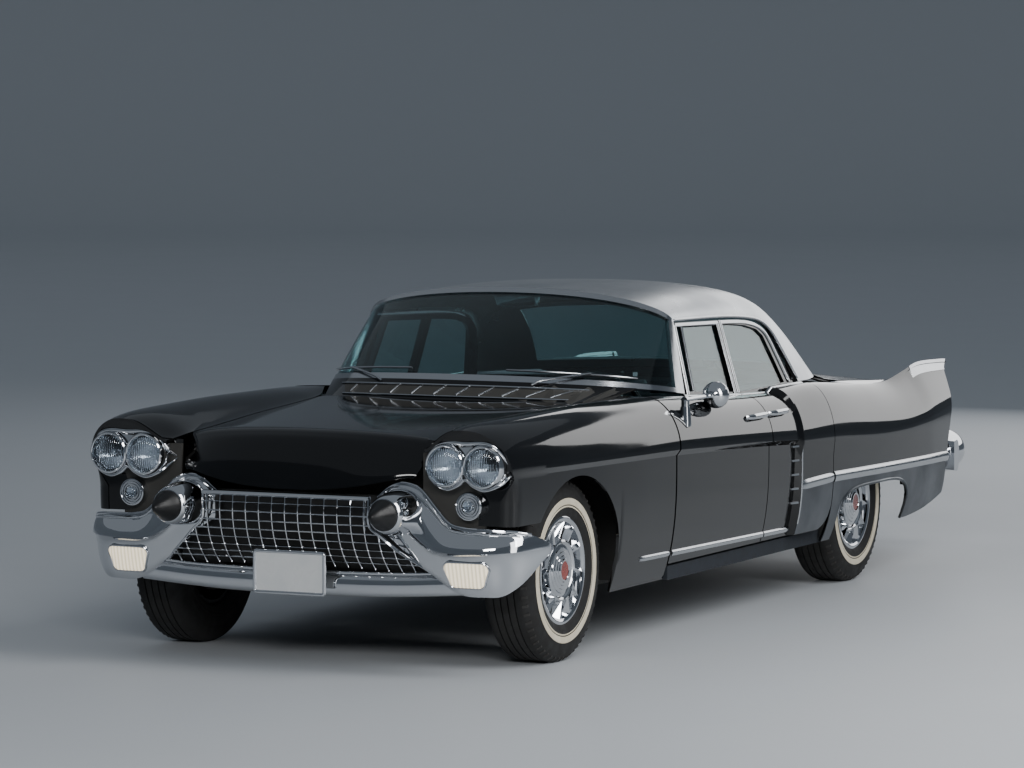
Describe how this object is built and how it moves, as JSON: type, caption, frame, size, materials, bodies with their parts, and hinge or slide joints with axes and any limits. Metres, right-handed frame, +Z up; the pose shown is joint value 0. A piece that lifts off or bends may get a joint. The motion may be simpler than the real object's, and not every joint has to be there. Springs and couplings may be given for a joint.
{
  "type": "four-door luxury saloon car",
  "caption": "Long late-1950s four-door saloon with a steel roof, tail fins, egg-crate grille and bullet bumper; centre-opening doors, lids, steered front wheels and rolling wheels move.",
  "frame": {"origin": "middle of the bounding box on the ground", "axes": "+X to the car's left, -Y to its nose, +Z up"},
  "size_m": [1.992, 5.494, 1.41],
  "materials": {
    "black_paint": "gloss",
    "chrome": "polished",
    "wheel_chrome": "polished",
    "roof_steel": "brushed",
    "exhaust_steel": "dull",
    "tip_rubber": "satin",
    "tyre_rubber": "matt",
    "lamp_glass": "clear",
    "amber_glass": "clear",
    "red_lens": "gloss",
    "tinted_glass": "tinted",
    "plate_white": "satin",
    "frame_black": "matt",
    "cast_iron": "rough",
    "trim_plastic": "satin",
    "seat_leather": "satin"
  },
  "bodies": {
    "body": {"chassis_frame": "frame_black", "floor_pan": "frame_black", "inner_structure": "frame_black", "fender_left": "black_paint", "fender_right": "black_paint", "grille": "chrome", "front_bumper": "chrome", "bumper_tips": "tip_rubber", "headlamp_bezels": "chrome", "headlamps": "lamp_glass", "marker_lamps": "amber_glass", "number_plates": "plate_white", "windshield": "tinted_glass", "windshield_frame": "chrome", "roof": "roof_steel", "rear_window": "tinted_glass", "quarter_left": "black_paint", "quarter_right": "black_paint", "rear_panel": "black_paint", "rear_bumper": "chrome", "tail_lamps": "red_lens", "dashboard": "trim_plastic", "front_seat": "seat_leather", "rear_seat": "seat_leather", "engine": "cast_iron", "rear_axle_beam": "frame_black", "exhaust": "exhaust_steel", "fuel_tank": "frame_black", "front_suspension": "frame_black"},
    "hood": {"hood": "black_paint"},
    "trunk": {"trunk_lid": "black_paint"},
    "front_door_left": {"door_front_left": "black_paint", "glass_front_left": "tinted_glass", "door_mirror": "chrome"},
    "front_door_right": {"door_front_right": "black_paint", "glass_front_right": "tinted_glass"},
    "rear_door_left": {"door_rear_left": "black_paint", "glass_rear_left": "tinted_glass"},
    "rear_door_right": {"door_rear_right": "black_paint", "glass_rear_right": "tinted_glass"},
    "steering": {"steering_wheel": "trim_plastic"},
    "steer_hub_left": {"knuckle_left": "cast_iron"},
    "steer_hub_right": {"knuckle_right": "cast_iron"},
    "front_wheel_left": {"tyre_front_left": "tyre_rubber", "wheel_front_left": "wheel_chrome"},
    "front_wheel_right": {"tyre_front_right": "tyre_rubber", "wheel_front_right": "wheel_chrome"},
    "rear_wheel_left": {"tyre_rear_left": "tyre_rubber", "wheel_rear_left": "wheel_chrome"},
    "rear_wheel_right": {"tyre_rear_right": "tyre_rubber", "wheel_rear_right": "wheel_chrome"}
  },
  "joints": [
    {"name": "hood_hinge", "type": "hinge", "parent": "body", "child": "hood", "pos_m": [0, -1.14, 0.915], "axis": [-1, 0, 0], "range_deg": [0, 50]},
    {"name": "trunk_hinge", "type": "hinge", "parent": "body", "child": "trunk", "pos_m": [0, 1.59, 0.892], "axis": [1, 0, 0], "range_deg": [0, 55]},
    {"name": "front_door_left_hinge", "type": "hinge", "parent": "body", "child": "front_door_left", "pos_m": [0.926, -0.8, 0.6], "axis": [0, 0, -1], "range_deg": [0, 65]},
    {"name": "front_door_right_hinge", "type": "hinge", "parent": "body", "child": "front_door_right", "pos_m": [-0.926, -0.8, 0.6], "axis": [0, 0, 1], "range_deg": [0, 65]},
    {"name": "rear_door_left_hinge", "type": "hinge", "parent": "body", "child": "rear_door_left", "pos_m": [0.962, 0.69704, 0.6], "axis": [0, 0, 1], "range_deg": [0, 65]},
    {"name": "rear_door_right_hinge", "type": "hinge", "parent": "body", "child": "rear_door_right", "pos_m": [-0.962, 0.69704, 0.6], "axis": [0, 0, -1], "range_deg": [0, 65]},
    {"name": "steer_left", "type": "hinge", "parent": "body", "child": "steer_hub_left", "pos_m": [0.65, -1.867, 0.36], "axis": [0, 0, 1], "range_deg": [-32, 32]},
    {"name": "steer_right", "type": "hinge", "parent": "body", "child": "steer_hub_right", "pos_m": [-0.65, -1.867, 0.36], "axis": [0, 0, 1], "range_deg": [-32, 32]},
    {"name": "steering_turn", "type": "hinge", "parent": "body", "child": "steering", "pos_m": [0.4, -0.43046, 0.85466], "axis": [0, 0.9272, 0.3746], "range_deg": [-480, 480]},
    {"name": "front_left_spin", "type": "hinge", "parent": "steer_hub_left", "child": "front_wheel_left", "pos_m": [0.7745, -1.867, 0.36], "axis": [1, 0, 0], "continuous": true},
    {"name": "front_right_spin", "type": "hinge", "parent": "steer_hub_right", "child": "front_wheel_right", "pos_m": [-0.7745, -1.867, 0.36], "axis": [1, 0, 0], "continuous": true},
    {"name": "rear_left_spin", "type": "hinge", "parent": "body", "child": "rear_wheel_left", "pos_m": [0.7745, 1.333, 0.36], "axis": [1, 0, 0], "continuous": true},
    {"name": "rear_right_spin", "type": "hinge", "parent": "body", "child": "rear_wheel_right", "pos_m": [-0.7745, 1.333, 0.36], "axis": [1, 0, 0], "continuous": true}
  ],
  "couplings": [
    {"joint": "steer_right", "follows": "steer_left", "ratio": 1},
    {"joint": "steering_turn", "follows": "steer_left", "ratio": 15}
  ]
}
